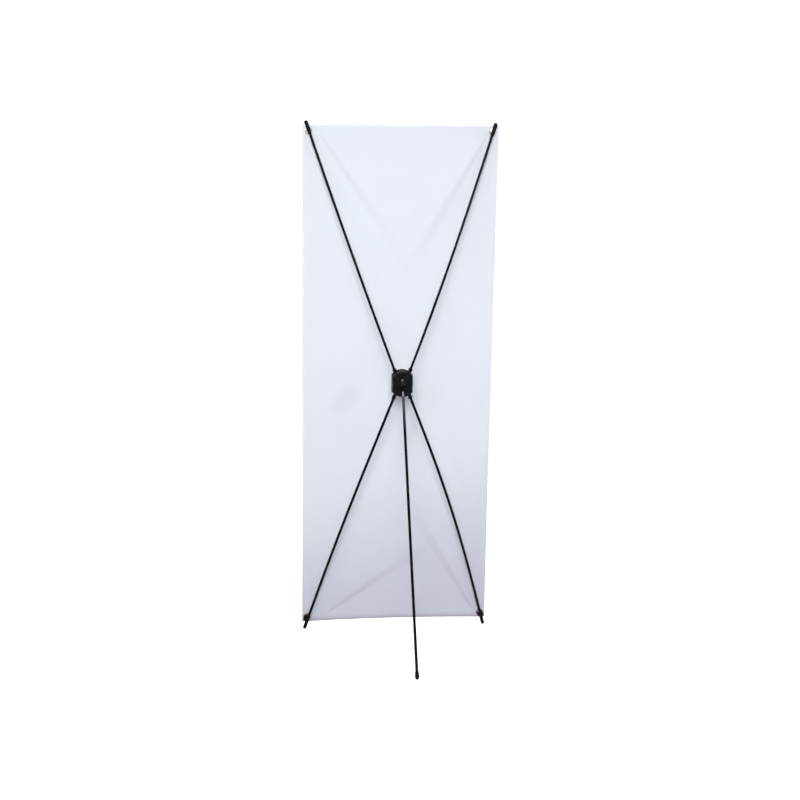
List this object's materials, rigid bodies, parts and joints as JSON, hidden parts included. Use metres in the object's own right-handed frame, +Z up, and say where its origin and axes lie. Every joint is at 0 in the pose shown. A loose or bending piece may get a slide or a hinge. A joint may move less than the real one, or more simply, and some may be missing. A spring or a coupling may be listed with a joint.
{
  "type": "banner stand",
  "caption": "Folding cross-shaped banner stand: a hub with springy arms that hold a cloth by its corner eyelets, and a rear leg.",
  "frame": {"origin": "on the floor, below the middle of the whole object's box", "axes": "+Z is up, the print side of the banner faces -Y, the rear leg stands towards +Y, and +X is to the right of someone who faces the print"},
  "size_m": [0.6, 0.659, 1.621],
  "materials": {
    "banner_fabric": "smooth coated white cloth, unprinted, matt with a faint sheen",
    "rod_gloss": "black glass-fibre rod with a glossy coat",
    "hub_plastic": "black moulded plastic, satin",
    "cap_plastic": "black moulded end caps and foot, satin",
    "eyelet_nickel": "warm nickel-plated brass, polished and rolled",
    "screw_steel": "blackened steel",
    "spigot_steel": "bright zinc-plated steel"
  },
  "bodies": {
    "hub": {"hub_front_shell": "hub_plastic", "hub_rear_shell": "hub_plastic", "leg_pivot_pin": "screw_steel", "upper_left_pivot_screw": "screw_steel", "upper_right_pivot_screw": "screw_steel", "lower_left_pivot_screw": "screw_steel", "lower_right_pivot_screw": "screw_steel"},
    "upper_left_arm": {"upper_left_socket": "hub_plastic", "upper_left_rod": "rod_gloss", "upper_left_cap": "cap_plastic"},
    "upper_right_arm": {"upper_right_socket": "hub_plastic", "upper_right_rod": "rod_gloss", "upper_right_cap": "cap_plastic"},
    "lower_left_arm": {"lower_left_socket": "hub_plastic", "lower_left_rod": "rod_gloss", "lower_left_cap": "cap_plastic"},
    "lower_right_arm": {"lower_right_socket": "hub_plastic", "lower_right_rod": "rod_gloss", "lower_right_cap": "cap_plastic"},
    "rear_leg": {"leg_socket": "hub_plastic", "leg_spigot": "spigot_steel", "leg_rod": "rod_gloss", "leg_foot": "cap_plastic"},
    "banner": {"banner_cloth": "banner_fabric", "upper_left_eyelet": "eyelet_nickel", "upper_right_eyelet": "eyelet_nickel", "lower_left_eyelet": "eyelet_nickel", "lower_right_eyelet": "eyelet_nickel", "upper_left_washer": "eyelet_nickel", "upper_right_washer": "eyelet_nickel", "lower_left_washer": "eyelet_nickel", "lower_right_washer": "eyelet_nickel"}
  },
  "joints": [
    {"name": "banner_off", "type": "slide", "parent": "hub", "child": "banner", "axis": [0, -0.9903, 0.1392], "range_m": [0, 0.6]},
    {"name": "fold_upper_left", "type": "hinge", "parent": "hub", "child": "upper_left_arm", "pos_m": [-0.0196, -0.11295, 0.83651], "axis": [0, 0.9903, -0.1392], "range_deg": [0, 18]},
    {"name": "fold_upper_right", "type": "hinge", "parent": "hub", "child": "upper_right_arm", "pos_m": [0.0124, -0.11295, 0.83651], "axis": [0, -0.9903, 0.1392], "range_deg": [0, 18]},
    {"name": "fold_lower_left", "type": "hinge", "parent": "hub", "child": "lower_left_arm", "pos_m": [-0.0196, -0.11838, 0.79789], "axis": [0, -0.9903, 0.1392], "range_deg": [0, 18]},
    {"name": "fold_lower_right", "type": "hinge", "parent": "hub", "child": "lower_right_arm", "pos_m": [0.0124, -0.11838, 0.79789], "axis": [0, 0.9903, -0.1392], "range_deg": [0, 18]},
    {"name": "fold_rear_leg", "type": "hinge", "parent": "hub", "child": "rear_leg", "pos_m": [-0.0036, -0.10484, 0.81517], "axis": [-1, 0, 0], "range_deg": [0, 34]}
  ],
  "couplings": [
    {"joint": "fold_upper_left", "follows": "banner_off", "rad_per_m": 0.5235},
    {"joint": "fold_upper_right", "follows": "banner_off", "rad_per_m": 0.5235},
    {"joint": "fold_lower_left", "follows": "banner_off", "rad_per_m": 0.5235},
    {"joint": "fold_lower_right", "follows": "banner_off", "rad_per_m": 0.5235}
  ]
}
